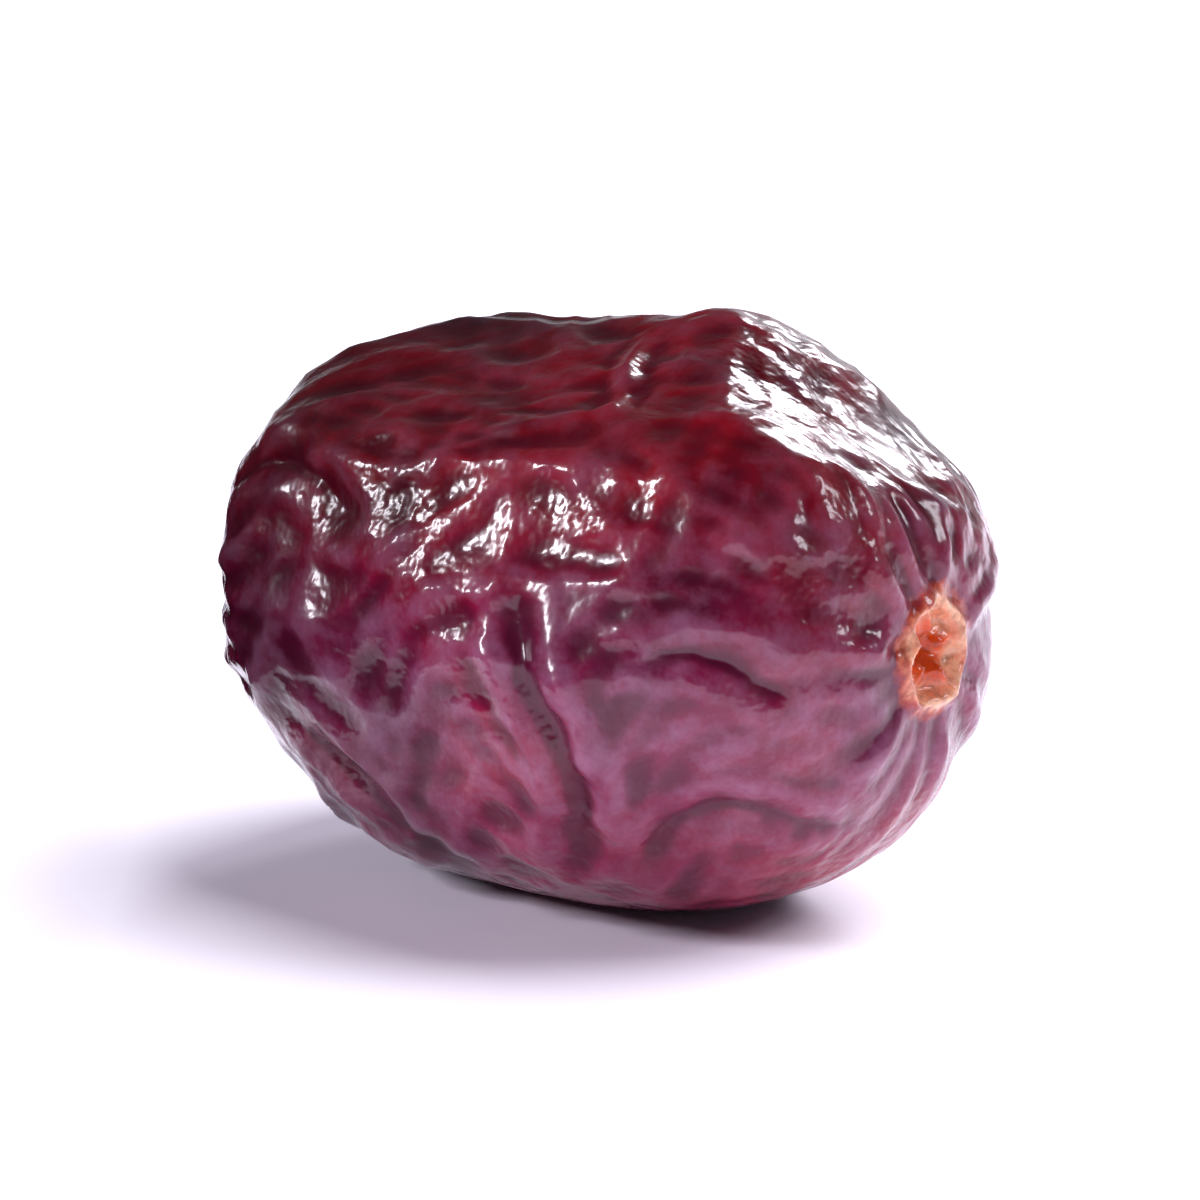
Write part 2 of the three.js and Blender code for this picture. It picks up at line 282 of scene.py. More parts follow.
@dataclass(frozen=True)
class Form:
    """The berry's form: the plump ovoid and everything that drying has done to it, in mm.

    Barrel and ring are the exponents of its curves along and across it, where 2 is an ellipse.
    """

    length: float = 16.2
    width: float = 12.0
    height: float = 11.9
    barrel: float = 2.7
    ring: float = 2.25
    foot_depth: float = 0.16
    crowd_ends: float = 0.12
    crowd_scar: float = 0.2
    pucker_reach: float = 3.4
    pucker_spread: float = 0.35
    pucker_start: tuple[float, float] = (1.0, 2.2)
    underside: tuple[float, float] = (0.8, 0.95)
    scar: Scar = Scar()
    stem_end: StemEnd = StemEnd()
    crease_cut: CreaseCut = CreaseCut()

    @property
    def halves(self) -> np.ndarray:
        """Half of the ovoid's length, width and height."""
        return np.array((self.length, self.width, self.height)) / 2

    def plump(self, directions: np.ndarray) -> np.ndarray:
        """Finds the plump ovoid's surface.

        Args:
            directions: Directions from its middle.

        Returns:
            Its points in those directions.
        """
        x, y, z = np.abs(directions).T
        round_x = (y**self.ring + z**self.ring) ** (self.barrel / self.ring)
        return directions * self.halves / ((x**self.barrel + round_x) ** (1 / self.barrel))[:, None]

    def normals(self, points: np.ndarray) -> np.ndarray:
        """Finds which way the plump ovoid faces.

        Args:
            points: Points on it.

        Returns:
            Its outward normals there.
        """
        share = np.abs(points / self.halves)
        reach = (share[:, 1] ** self.ring + share[:, 2] ** self.ring) ** (1 / self.ring)
        grow = np.empty_like(points)
        grow[:, 0] = share[:, 0] ** (self.barrel - 1)
        lean = np.maximum(reach, TINY) ** (self.barrel - self.ring)
        grow[:, 1:] = share[:, 1:] ** (self.ring - 1) * lean[:, None]
        grow *= np.sign(points) / self.halves
        return grow / np.linalg.norm(grow, axis=1)[:, None]

    def places(self, stations: np.ndarray, turns: np.ndarray) -> np.ndarray:
        """Finds points of the ovoid by their station and turn.

        Args:
            stations: Places along X.
            turns: Turns about X, in degrees.

        Returns:
            The points.
        """
        reach = (1 - np.abs(stations / self.halves[0]) ** self.barrel) ** (1 / self.barrel)
        y, z = -np.sin(np.radians(turns)), np.cos(np.radians(turns))
        size = (np.abs(y) ** self.ring + np.abs(z) ** self.ring) ** (1 / self.ring)
        return np.stack((stations, y * reach * self.halves[1] / size, z * reach * self.halves[2] / size), 1)

    def press_in(self, points: np.ndarray) -> np.ndarray:
        """Presses points in where they stand above a hollow's shallow bowl.

        Args:
            points: Points of the ovoid.

        Returns:
            The pressed points.
        """
        points = points.copy()
        for hollow in HOLLOWS:
            middle = self.places(np.array([hollow.station]), np.array([hollow.turn]))
            out = self.normals(middle)[0]
            across = np.cross(out, (1.0, 0.0, 0.0))
            across /= np.linalg.norm(across)
            along = np.cross(across, out)
            offset = points - middle
            u, v = offset @ along, offset @ across
            floor = -hollow.depth + 0.5 * (hollow.bend_along * u * u + hollow.bend_across * v * v)
            points -= soft_edge(offset @ out - floor, hollow.edge)[:, None] * out
        return points

    def swell(self, plump: np.ndarray) -> np.ndarray:
        """Works out how far the swellings push the skin out.

        Args:
            plump: Points of the ovoid.

        Returns:
            The height of the swellings there.
        """
        total = np.zeros(len(plump))
        for swelling in SWELLINGS:
            middle = self.places(np.array([swelling.station]), np.array([swelling.turn]))
            total += swelling.height * bell(np.linalg.norm(plump - middle, axis=1) / swelling.radius)
        return total

    def crease_depth(self, plump: np.ndarray) -> np.ndarray:
        """Works out how deep the folds cut. Ridges count below zero.

        Args:
            plump: Points of the ovoid.

        Returns:
            The depth of the folds there.
        """
        total = np.zeros(len(plump))
        for crease in CREASES:
            route = round_off(np.array(crease.route))
            away, at = nearest_on(self.places(route[:, 0], route[:, 1]), plump)
            total += crease.relief.value * crease.depth * self.crease_cut.share(away / crease.half, at)
        return total

    def fine_relief(self, plump: np.ndarray) -> np.ndarray:
        """Works out the puckers at the ends and the wrinkles over the sides.

        Args:
            plump: Points of the ovoid.

        Returns:
            Their height there.
        """
        x, y, z = plump.T
        turn, radius = np.arctan2(-y, z), np.hypot(y, z)
        from_end = self.halves[0] - np.abs(x) + self.pucker_spread * radius
        clear = smooth_step(*self.pucker_start, radius / self.scar.radius)
        share = bell(from_end / self.pucker_reach) * clear
        side = np.sign(x)
        total = np.zeros(len(plump))
        for amplitude, count, lean, phase in PUCKERS:
            total += share * amplitude * np.cos(count * turn + lean * side * from_end + phase + side)
        bent = plump.copy()
        for axis, (amplitude, *direction, phase) in enumerate(WANDERS):
            bent[:, axis] += amplitude * np.sin(plump @ direction + phase)
        for amplitude, *direction in WRINKLES:
            total += (1 - share) * amplitude * (1 - 2 * np.abs(np.sin(bent @ direction / 2)))
        return total

    def crowd(self, directions: np.ndarray) -> np.ndarray:
        """Draws directions towards the ends, so that the faces are smallest there.

        Args:
            directions: Directions of length 1.

        Returns:
            The moved directions.
        """
        angle = np.arccos(np.clip(directions[:, 0], -1, 1))
        near_scar = (1 + np.cos(angle)) / 2
        moved = angle - np.sin(angle) * (self.crowd_ends * np.cos(angle) + self.crowd_scar * near_scar)
        ring = np.hypot(directions[:, 1], directions[:, 2])
        scale = np.where(ring > TINY, np.sin(moved) / np.maximum(ring, TINY), 0.0)
        return np.stack((np.cos(moved), directions[:, 1] * scale, directions[:, 2] * scale), 1)

    def skin(self, plump: np.ndarray, relief: np.ndarray) -> np.ndarray:
        """Works out the dried skin.

        Args:
            plump: Points of the ovoid.
            relief: How far wrinkles and buckles stand out there.

        Returns:
            Points of the skin, about the middle of the ovoid.
        """
        out = self.normals(plump)
        radius = np.hypot(plump[:, 1], plump[:, 2])
        underside = smooth_step(*self.underside, -out[:, 2])
        lift = (1 - underside) * (self.swell(plump) + relief)
        points = self.press_in(plump) + lift[:, None] * out
        angle = np.arctan2(-plump[:, 1], plump[:, 2])
        blossom = plump[:, 0] > 0
        points[:, 0] += np.where(blossom, self.scar.relief(radius, angle), self.stem_end.depth(radius))
        return points

    def set_down(self, points: np.ndarray) -> np.ndarray:
        """Cuts the underside flat and moves the berry onto the middle of its footprint.

        Args:
            points: Points of the skin.

        Returns:
            The same points in the part's frame.
        """
        floor = points[:, 2].min() + self.foot_depth
        points[:, 2] = np.maximum(points[:, 2], floor)
        middle = (points.min(0) + points.max(0)) / 2
        return points - (middle[0], middle[1], floor)


def round_off(route: np.ndarray, times: int = 3, corner: float = 0.25) -> np.ndarray:
    """Cuts the corners of a route and keeps its ends.

    Args:
        route: Places as (station, turn).
        times: How often to cut.
        corner: How much of each line a cut takes off.

    Returns:
        The rounder route.
    """
    for _ in range(times):
        a, b = route[:-1], route[1:]
        cut = np.stack(((1 - corner) * a + corner * b, corner * a + (1 - corner) * b), 1).reshape(-1, 2)
        route = np.concatenate((route[:1], cut, route[-1:]))
    return route


def nearest_on(curve: np.ndarray, points: np.ndarray) -> tuple[np.ndarray, np.ndarray]:
    """Finds how far points are from a curve.

    Args:
        curve: The curve's points, in order.
        points: The points to measure from.

    Returns:
        The distance of each point, and where along the curve the nearest place is, from 0 to 1.
    """
    away = np.full(len(points), np.inf)
    at = np.zeros(len(points))
    for i, (a, b) in enumerate(zip(curve[:-1], curve[1:])):
        line = b - a
        t = np.clip((points - a) @ line / max(line @ line, TINY), 0, 1)
        d = np.linalg.norm(points - a - t[:, None] * line, axis=1)
        closer = d < away
        away[closer] = d[closer]
        at[closer] = (i + t[closer]) / (len(curve) - 1)
    return away, at


@dataclass(frozen=True)
class Buckles:
    """Small buckles of the drying skin, grown on the mesh from noise as thin skins buckle.

    Near and far are smoothing steps that set a buckle's width, and low and high its height in mm, on smooth
    and on crumpled skin.
    """

    near: int
    far: int
    low: float
    high: float
    lengthwise: float
    seed: int
    rounds: int = 26
    first_height: float = 0.3
    contrast: float = 1.6
    last_smoothing: int = 2
    lengthwise_everywhere: float = 0.3
    end_rise: tuple[float, float] = (2.5, 7.0)

    def grow(self, plump: np.ndarray, edges: np.ndarray) -> np.ndarray:
        """Grows the pattern.

        Args:
            plump: Points of the ovoid, in mm.
            edges: Pairs of neighbouring points.

        Returns:
            The buckles' relief, in mm.
        """
        weight = self.weights(plump, edges)
        u = np.random.default_rng(self.seed).standard_normal(len(plump)) * self.first_height
        for _ in range(self.rounds):
            close = blur(u, edges, weight, self.near)
            apart = close - blur(close, edges, weight, self.far - self.near)
            u = np.tanh(self.contrast * apart / max(apart.std(), TINY))
        u = blur(u, edges, weight, self.last_smoothing)
        return (self.low + (self.high - self.low) * self.patches(plump)) * u

    def weights(self, plump: np.ndarray, edges: np.ndarray) -> np.ndarray:
        """Weighs the edges so that the buckles run lengthwise near the ends.

        Args:
            plump: Points of the ovoid, in mm.
            edges: Pairs of neighbouring points.

        Returns:
            The weight of each edge.
        """
        line = plump[edges[:, 1]] - plump[edges[:, 0]]
        middle = (plump[edges[:, 1]] + plump[edges[:, 0]]) / 2
        ring = np.stack((np.zeros(len(middle)), -middle[:, 2], middle[:, 1]), 1)
        ring /= np.maximum(np.linalg.norm(ring, axis=1), TINY)[:, None]
        around = np.abs((line * ring).sum(1)) / np.maximum(np.linalg.norm(line, axis=1), TINY)
        end = smooth_step(*self.end_rise, np.abs(middle[:, 0]))
        return np.exp(-(self.lengthwise_everywhere + self.lengthwise * end) * around * around)

    def patches(self, plump: np.ndarray) -> np.ndarray:
        """Finds where the skin is crumpled.

        Args:
            plump: Points of the ovoid, in mm.

        Returns:
            From 0 where it is smooth to 1 where it is crumpled.
        """
        shifted = plump + self.seed
        broad = sum(np.sin(shifted @ direction + phase) for *direction, phase in PATCH_WAVES)
        return smooth_step(*PATCH_RISE, broad)


def blur(u: np.ndarray, edges: np.ndarray, weight: np.ndarray, times: int) -> np.ndarray:
    """Smooths values over a mesh.

    Args:
        u: A value for each point.
        edges: Pairs of neighbouring points.
        weight: How strongly each pair is joined.
        times: How often to smooth.

    Returns:
        The smoothed values.
    """
    a, b = edges.T
    total = np.bincount(a, weight, len(u)) + np.bincount(b, weight, len(u))
    for _ in range(times):
        pull = np.bincount(a, weight * u[b], len(u)) + np.bincount(b, weight * u[a], len(u))
        u = KEPT * u + (1 - KEPT) * pull / total
    return u


class Run(NamedTuple):
    """A share that goes from start to end as a value goes from low to high, and holds outside them."""

    low: float
    high: float
    start: float
    end: float


class Spots(NamedTuple):
    """A cloudy pattern: the width of its spots in mm, its steps of finer detail and their strength."""

    width_mm: float
    detail: float
    roughness: float

    def inputs(self, place: Link) -> dict[str, object]:
        """The pattern's inputs at a place in mm, with the scale worked out from the width."""
        values = {"Scale": 1 / self.width_mm, "Detail": self.detail, "Roughness": self.roughness}
        return {"Vector": place, **values}


def colour(code: str) -> tuple[float, float, float, float]:
    """Turns an sRGB hex code to linear light.

    Args:
        code: The code, with its hash sign.

    Returns:
        Red, green and blue from 0 to 1, and an alpha of 1.
    """
    parts = (int(code[i : i + 2], 16) / 255 for i in (1, 3, 5))
    return (*(p / 12.92 if p <= 0.04045 else ((p + 0.055) / 1.055) ** 2.4 for p in parts), 1.0)


def add_node(
    tree: bpy.types.NodeTree,
    kind: str,
    inputs: dict[int | str, object] | tuple[object, ...] = (),
    stops: Stops = (),
    **settings: object,
) -> bpy.types.Node:
    """Adds a shader node with its settings and links.

    Args:
        tree: The node tree of a material or of the world.
        kind: The node's type, after the word that all shader nodes share.
        inputs: A value for each input, in order or by name or number. A socket is linked, and so is the
            first live output of a node.
        stops: A colour ramp's positions and hex colours.
        settings: The node's own properties.

    Returns:
        The node.
    """
    node = tree.nodes.new("ShaderNode" + kind)
    for name, value in settings.items():
        setattr(node, name, value)
    for name, value in inputs.items() if isinstance(inputs, dict) else enumerate(inputs):
        if isinstance(value, bpy.types.Node):
            value = next(output for output in value.outputs if output.enabled)
        if isinstance(value, bpy.types.NodeSocket):
            tree.links.new(value, node.inputs[name])
        else:
            node.inputs[name].default_value = value
    for _ in stops[2:]:
        node.color_ramp.elements.new(0.5)
    for i, (position, code) in enumerate(stops):
        node.color_ramp.elements[i].position = position
        node.color_ramp.elements[i].color = colour(code)
    return node


@dataclass(frozen=True)
class DriedSkin:
    """Cranberry skin that was sweetened in syrup, dried in warm air and lightly oiled.

    Oil and sugar give it a soft gloss, which the fine pebbles of the shrunken skin break up into glints.
    Light goes a little way into the flesh. Its colour holds painted light: crimson above and a paler, milky
    plum below, where the pale table lights it. A bloom of sugar dulls the crests, and on the sides it is
    also a painted sheen of the table mirrored in the skin. The valleys and the stem end are painted dark, as
    painted shade. The calyx scar is dry, fibrous and orange.

    Places and sizes are in mm, about the middle of the footprint.
    """

    crimson: Stops = ((0.3, "#34030b"), (0.52, "#8e061c"), (0.75, "#34030b"))
    # Painted light: the plum is a paler, milkier copy of the flesh's colour for where the pale table lights
    # it from below.
    plum_painted_light: Stops = ((0.3, "#42061e"), (0.52, "#7c1444"), (0.7, "#901034"))
    # Sugar bloom, which also serves as a painted sheen of the pale table on the sides.
    bloom_and_sheen: str = "#a07090"
    # Painted shade in the valleys.
    valley_shade: str = "#38041c"
    # Painted shade: the stem end is painted nearly black.
    stem_end: str = "#24020a"
    scar_rings: Stops = ((0.25, "#7a240c"), (0.5, "#e0540e"), (0.74, "#fbc6a0"), (0.9, "#e0540e"))
    scar_fleck: str = "#7a240c"

    clouds: Spots = Spots(4.2, 4.0, 0.55)
    bloom_spots: Spots = Spots(1.1, 4.0, 0.7)
    pebbles: Spots = Spots(0.53, 2.0, 0.45)
    scar_edge: Spots = Spots(0.385, 3.0, 0.5)
    flecks: Spots = Spots(0.192, 3.0, 0.6)
    # The scar's own fibres, about 0.05 mm thick, are too fine to show. They are drawn three times as coarse.
    fibres: Spots = Spots(0.167, 2.0, 0.5)

    # Painted light: where the flesh turns from the paler plum, lit by the pale table below, to crimson by
    # height, and how far the clouds shift that.
    painted_light_by_height: Run = Run(8.5, 12.5, 0.0, 1.0)
    painted_light_by_height_wander: float = 6.0
    # How much bloom there is by the spots and how much a crest adds to them, and how it thins by height,
    # which paints a sheen of the pale table on the sides.
    bloomed: Run = Run(0.42, 0.74, 0.0, 0.6)
    bloom_on_crests: float = 0.1
    painted_sheen_foot: Run = Run(0.0, 4.0, 0.2, 1.0)
    painted_sheen_top: Run = Run(5.0, 10.0, 1.0, 0.35)
    # Painted shade: how dark the valleys are painted by their depth, and how dark the stem end is painted by
    # its place along the berry.
    valley_shading: Run = Run(-1.0, 0.1, 0.6, 0.0)
    stem_shade: Run = Run(-6.5, 3.0, 0.88, 0.0)
    stem_shade_wander: float = 4.0
    # The scar by the distance from its middle, in radii, with its edge made uneven.
    scar_unevenness: float = 0.5
    scar_reach: float = 1.6
    on_scar: Run = Run(1.25, 1.6, 1.0, 0.0)
    flecked: Run = Run(0.42, 0.68, 0.0, 0.5)
    fibrous: Run = Run(1.2, 1.6, 0.45, 0.0)
    # The height of the pebbles, and how strong they are by the clouds.
    pebble_height: float = 0.15
    pebbled: Run = Run(0.4, 0.62, 0.2, 0.9)

    # Sugary flesh and oil both have an IOR of about 1.47. The film of oil's is let down to match the photo.
    ior: float = 1.47
    roughness: float = 0.4
    specular: float = 0.15
    oil_ior: float = 1.42
    oil_roughness: float = 0.17
    glow: float = 0.3
    glow_reach: float = 1.2
    glow_tint: tuple[float, float, float] = (1.0, 0.12, 0.1)

    def flesh_and_painted_light(self, tree: bpy.types.NodeTree, height: Link, clouds: Link) -> bpy.types.Node:
        """Colours the flesh crimson where the berry faces up and a paler plum underneath, both clouded:
        painted light from the pale table below.

        Args:
            tree: The material's node tree.
            height: Height above the table.
            clouds: The broad clouds.

        Returns:
            The colour.
        """
        upper = add_node(tree, "ValToRGB", (clouds,), self.crimson)
        lower = add_node(tree, "ValToRGB", (clouds,), self.plum_painted_light)
        wavy = add_node(tree, "Math", (clouds, self.painted_light_by_height_wander, height), operation="MULTIPLY_ADD")
        share = add_node(tree, "MapRange", (wavy, *self.painted_light_by_height))
        return add_node(tree, "Mix", {0: share, 6: lower, 7: upper}, data_type="RGBA")

    def bloom_and_sheen_share(self, tree: bpy.types.NodeTree, place: Link, height: Link, crest: Link) -> bpy.types.Node:
        """Spreads the bloom of sugar in spots, most on the crests, and thins it by height into a painted
        sheen: less on the top and at the foot.

        Args:
            tree: The material's node tree.
            place: Place on the berry.
            height: Height above the table.
            crest: How far the skin stands out, from -1 in valleys to 1 on crests.

        Returns:
            The share of bloom and painted sheen.
        """
        spots = add_node(tree, "TexNoise", self.bloom_spots.inputs(place))
        spots = add_node(tree, "Math", (crest, self.bloom_on_crests, spots), operation="MULTIPLY_ADD")
        share = add_node(tree, "MapRange", (spots, *self.bloomed))
        # Painted sheen: the bloom thins at the foot and on the top, so that it gathers on the sides.
        foot = add_node(tree, "MapRange", (height, *self.painted_sheen_foot))
        top = add_node(tree, "MapRange", (height, *self.painted_sheen_top))
        sheen_by_height = add_node(tree, "Math", (foot, top), operation="MULTIPLY")
        return add_node(tree, "Math", (share, sheen_by_height), operation="MULTIPLY")

    def lay_bloom_and_shade(self, tree: bpy.types.NodeTree, place: Link, clouds: Link) -> bpy.types.Node:
        """Lays bloom with its painted sheen, painted shade in the valleys and painted shade towards the stem
        end over the flesh.

        Args:
            tree: The material's node tree.
            place: Place on the berry.
            clouds: The broad clouds.

        Returns:
            The colour.
        """
        along, _, height = add_node(tree, "SeparateXYZ", (place,)).outputs
        crest = add_node(tree, "Attribute", attribute_name=CREST).outputs["Fac"]
        flesh_and_painted_light = self.flesh_and_painted_light(tree, height, clouds)
        bloom_and_sheen_share = self.bloom_and_sheen_share(tree, place, height, crest)
        pale = add_node(tree, "Mix", {0: bloom_and_sheen_share, 6: flesh_and_painted_light, 7: colour(self.bloom_and_sheen)}, data_type="RGBA")
        # Painted shade: the valleys are painted darker the deeper they lie.
        depth = add_node(tree, "MapRange", (crest, *self.valley_shading))
        valley_shaded = add_node(tree, "Mix", {0: depth, 6: pale, 7: colour(self.valley_shade)}, data_type="RGBA")
        # Painted shade: the berry is painted darker towards the stem end, unevenly by the clouds.
        wavy = add_node(tree, "Math", (clouds, self.stem_shade_wander, along), operation="MULTIPLY_ADD")
        share = add_node(tree, "MapRange", (wavy, *self.stem_shade))
        return add_node(tree, "Mix", {0: share, 6: valley_shaded, 7: colour(self.stem_end)}, data_type="RGBA")

    def from_scar(
        self, tree: bpy.types.NodeTree, place: Link, middle: np.ndarray, radius: float
    ) -> bpy.types.Node:
        """Measures how far a place is from the scar.

        Args:
            tree: The material's node tree.
            place: Place on the berry.
            middle: The scar's middle, in mm.
            radius: The scar's radius, in mm.

        Returns:
            The uneven distance from the middle, in radii.
        """
        distance = add_node(tree, "VectorMath", (place, middle), operation="DISTANCE")
        radii = add_node(tree, "Math", (distance, radius), operation="DIVIDE")
        spots = add_node(tree, "TexNoise", self.scar_edge.inputs(place))
        return add_node(tree, "Math", (spots, self.scar_unevenness, radii), operation="MULTIPLY_ADD")

    def scarred(self, tree: bpy.types.NodeTree, place: Link, away: Link, skin: Link) -> bpy.types.Node:
        """Lays the calyx scar's rings, with darker flecks, over the skin.

        Args:
            tree: The material's node tree.
            place: Place on the berry.
            away: Distance from the scar's middle, in radii.
            skin: The skin's colour.

        Returns:
            The colour.
        """
        outwards = add_node(tree, "Math", (away, self.scar_reach), operation="DIVIDE")
        rings = add_node(tree, "ValToRGB", (outwards,), self.scar_rings)
        spots = add_node(tree, "TexNoise", self.flecks.inputs(place))
        flecks = add_node(tree, "MapRange", (spots, *self.flecked))
        scar = add_node(tree, "Mix", {0: flecks, 6: rings, 7: colour(self.scar_fleck)}, data_type="RGBA")
        share = add_node(tree, "MapRange", (away, *self.on_scar))
        return add_node(tree, "Mix", {0: share, 6: skin, 7: scar}, data_type="RGBA")

    def grain(self, tree: bpy.types.NodeTree, place: Link, away: Link, clouds: Link) -> bpy.types.Node:
        """Raises the fine pebbles of the skin, stronger in patches, and the fibres of the scar.

        Args:
            tree: The material's node tree.
            place: Place on the berry.
            away: Distance from the scar's middle, in radii.
            clouds: The broad clouds.

        Returns:
            The bumpy normal.
        """
        pebbles = add_node(tree, "TexNoise", self.pebbles.inputs(place))
        fibres = add_node(tree, "TexNoise", self.fibres.inputs(place))
        share = add_node(tree, "MapRange", (away, *self.fibrous))
        height = add_node(tree, "Math", (fibres, share, pebbles), operation="MULTIPLY_ADD")
        strength = add_node(tree, "MapRange", (clouds, *self.pebbled))
        values = {"Height": height, "Distance": self.pebble_height * MM, "Strength": strength}
        return add_node(tree, "Bump", values)

    def build(self, scar_middle: np.ndarray, scar_radius: float) -> bpy.types.Material:
        """Builds the material.

        Args:
            scar_middle: The middle of the calyx scar, in mm.
            scar_radius: Its radius, in mm.

        Returns:
            The material.
        """
        material = bpy.data.materials.new("air_dried_cranberry_skin")
        material.use_nodes = True
        tree = material.node_tree
        tree.nodes.clear()
        metres = add_node(tree, "TexCoord").outputs["Object"]
        place = add_node(tree, "VectorMath", {0: metres, "Scale": 1 / MM}, operation="SCALE")
        clouds = add_node(tree, "TexNoise", self.clouds.inputs(place)).outputs["Fac"]
        away = self.from_scar(tree, place, scar_middle, scar_radius)
        normal = self.grain(tree, place, away, clouds)
        values = {
            "Base Color": self.scarred(tree, place, away, self.lay_bloom_and_shade(tree, place, clouds)),
            "Roughness": self.roughness,
            "IOR": self.ior,
            "Specular IOR Level": self.specular,
            "Normal": normal,
            "Subsurface Weight": self.glow,
            "Subsurface Radius": self.glow_tint,
            "Subsurface Scale": self.glow_reach * MM,
            "Coat Weight": 1.0,
            "Coat Normal": normal,
            "Coat Roughness": self.oil_roughness,
            "Coat IOR": self.oil_ior,
        }
        add_node(tree, "OutputMaterial", {"Surface": add_node(tree, "BsdfPrincipled", values)})
        return material


@dataclass(frozen=True)
class Berry:
    """The whole fruit as one piece."""

    piece: str = "berry_skin"
    form: Form = Form()
    buckles: tuple[Buckles, ...] = (
        Buckles(near=9, far=24, low=0.012, high=0.05, lengthwise=1.2, seed=41),
        Buckles(near=2, far=6, low=0.005, high=0.028, lengthwise=0.6, seed=7),
    )
    cuts: int = 63
    buckle_smoothing: int = 2
    crest_height: float = 0.04
    crest_smoothing: int = 40
    rim_share: float = 0.1
    finish: DriedSkin = DriedSkin()

    def plump(self, mesh: bmesh.types.BMesh) -> np.ndarray:
        """Spreads a cut cube's points over the plump ovoid.

        Args:
            mesh: A cube of side 2 that is cut into a grid.

        Returns:
            A point of the ovoid for each point of the cube, in mm.
        """
        corners = np.array([vert.co for vert in mesh.verts])
        directions = np.tan(corners * math.pi / 4)
        directions /= np.linalg.norm(directions, axis=1)[:, None]
        return self.form.plump(self.form.crowd(directions))

    def pairs(self, mesh: bmesh.types.BMesh) -> np.ndarray:
        """The mesh's edges as pairs of point numbers."""
        mesh.verts.index_update()
        return np.array([(edge.verts[0].index, edge.verts[1].index) for edge in mesh.edges])

    def scar_middle(self, plump: np.ndarray, points: np.ndarray) -> np.ndarray:
        """Finds the middle of the calyx scar.

        Args:
            plump: Points of the ovoid, in mm.
            points: The same points of the dried skin, in mm.

        Returns:
            The middle of the scar's rim on the dried skin, in mm.
        """
        radii = np.hypot(plump[:, 1], plump[:, 2]) / self.form.scar.radius
        rim = (plump[:, 0] > 0) & (np.abs(radii - 1) < self.rim_share)
        return points[rim].mean(0)

    def skin(self) -> tuple[bpy.types.Mesh, np.ndarray]:
        """Shapes the dried skin from a cube that is cut into a grid.

        Returns:
            Its mesh in metres, and the middle of the calyx scar in mm.
        """
        work = bmesh.new()
        bmesh.ops.create_cube(work, size=2.0)
        bmesh.ops.subdivide_edges(work, edges=work.edges[:], cuts=self.cuts, use_grid_fill=True)
        coarse, pairs = self.plump(work), self.pairs(work)
        relief = sum(kind.grow(coarse, pairs) for kind in self.buckles)
        layer = work.verts.layers.float.new(BUCKLED)
        for vert, value in zip(work.verts, relief):
            vert[layer] = value
        bmesh.ops.subdivide_edges(work, edges=work.edges[:], cuts=1, use_grid_fill=True)
        plump, pairs = self.plump(work), self.pairs(work)
        even = np.ones(len(pairs))
        buckled = np.array([vert[layer] for vert in work.verts])
        small = blur(buckled, pairs, even, self.buckle_smoothing)
        relief = self.form.fine_relief(plump) - self.form.crease_depth(plump) + small
        around = blur(relief, pairs, even, self.crest_smoothing)
        crest = np.clip((relief - around) / self.crest_height, -1, 1)
        points = self.form.set_down(self.form.skin(plump, relief))
        mesh = bpy.data.meshes.new(self.piece)
        work.to_mesh(mesh)
        work.free()
        mesh.attributes.remove(mesh.attributes[BUCKLED])
        mesh.attributes.new(CREST, "FLOAT", "POINT").data.foreach_set("value", crest)
        mesh.vertices.foreach_set("co", (points * MM).ravel())
        mesh.polygons.foreach_set("use_smooth", np.ones(len(mesh.polygons), dtype=bool))
        mesh.update()
        return mesh, self.scar_middle(plump, points)

    def build(self) -> bpy.types.Object:
        """Builds the berry, dresses it, hides the part of the model that it stands in for and hangs it under
        the root.

        Returns:
            The berry.
        """
        mesh, scar_middle = self.skin()
        mesh.materials.append(self.finish.build(scar_middle, self.form.scar.radius))
        berry = bpy.data.objects.new(self.piece, mesh)
        bpy.context.scene.collection.objects.link(berry)
        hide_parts(NODE)
        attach(berry, "root")
        return berry


@dataclass(frozen=True)
class MattSheet:
    """A plain, matt sheet of the studio, with its material's name, colour, roughness and specular level."""

    material: str
    tone: str
    roughness: float
    specular: float

    def finish(self) -> bpy.types.Material:
        """Builds the material.

        Returns:
            The material.
        """
        material = bpy.data.materials.new(self.material)
        material.use_nodes = True
        tree = material.node_tree
        tree.nodes.clear()
        values = {
            "Base Color": colour(self.tone),
            "Roughness": self.roughness,
            "Specular IOR Level": self.specular,
        }
        add_node(tree, "OutputMaterial", {"Surface": add_node(tree, "BsdfPrincipled", values)})
        return material

    def cut(self, name: str, size: tuple[float, float, float]) -> bpy.types.Object:
        """Cuts a sheet, flat about its own middle.

        Args:
            name: The sheet's name.
            size: Its length, its width and 1.

        Returns:
            The sheet.
        """
        mesh = bmesh.new()
        bmesh.ops.create_grid(mesh, x_segments=1, y_segments=1, size=0.5)
        bmesh.ops.scale(mesh, verts=mesh.verts[:], vec=size)
        data = bpy.data.meshes.new(name)
        mesh.to_mesh(data)
        mesh.free()
        data.materials.append(self.finish())
        return bpy.data.objects.new(name, data)


# White melamine board, pressed matt: the eye sees an even sheet that takes soft shadows and no glints.
BOARD = MattSheet("matt_white_melamine", "#e8e3f1", 0.8, 0.1)

# Dark wool cloth: the eye sees only how it darkens the side of the berry that faces it.
CLOTH = MattSheet("matt_wool_flag", "#240610", 1.0, 0.0)


@dataclass(frozen=True)
class Softbox:
    """One soft light that looks at the berry. Its azimuth counts from the camera's, to the right."""

    name: str
    azimuth: float
    elevation: float
    away: float
    size: tuple[float, float]
    watts: float


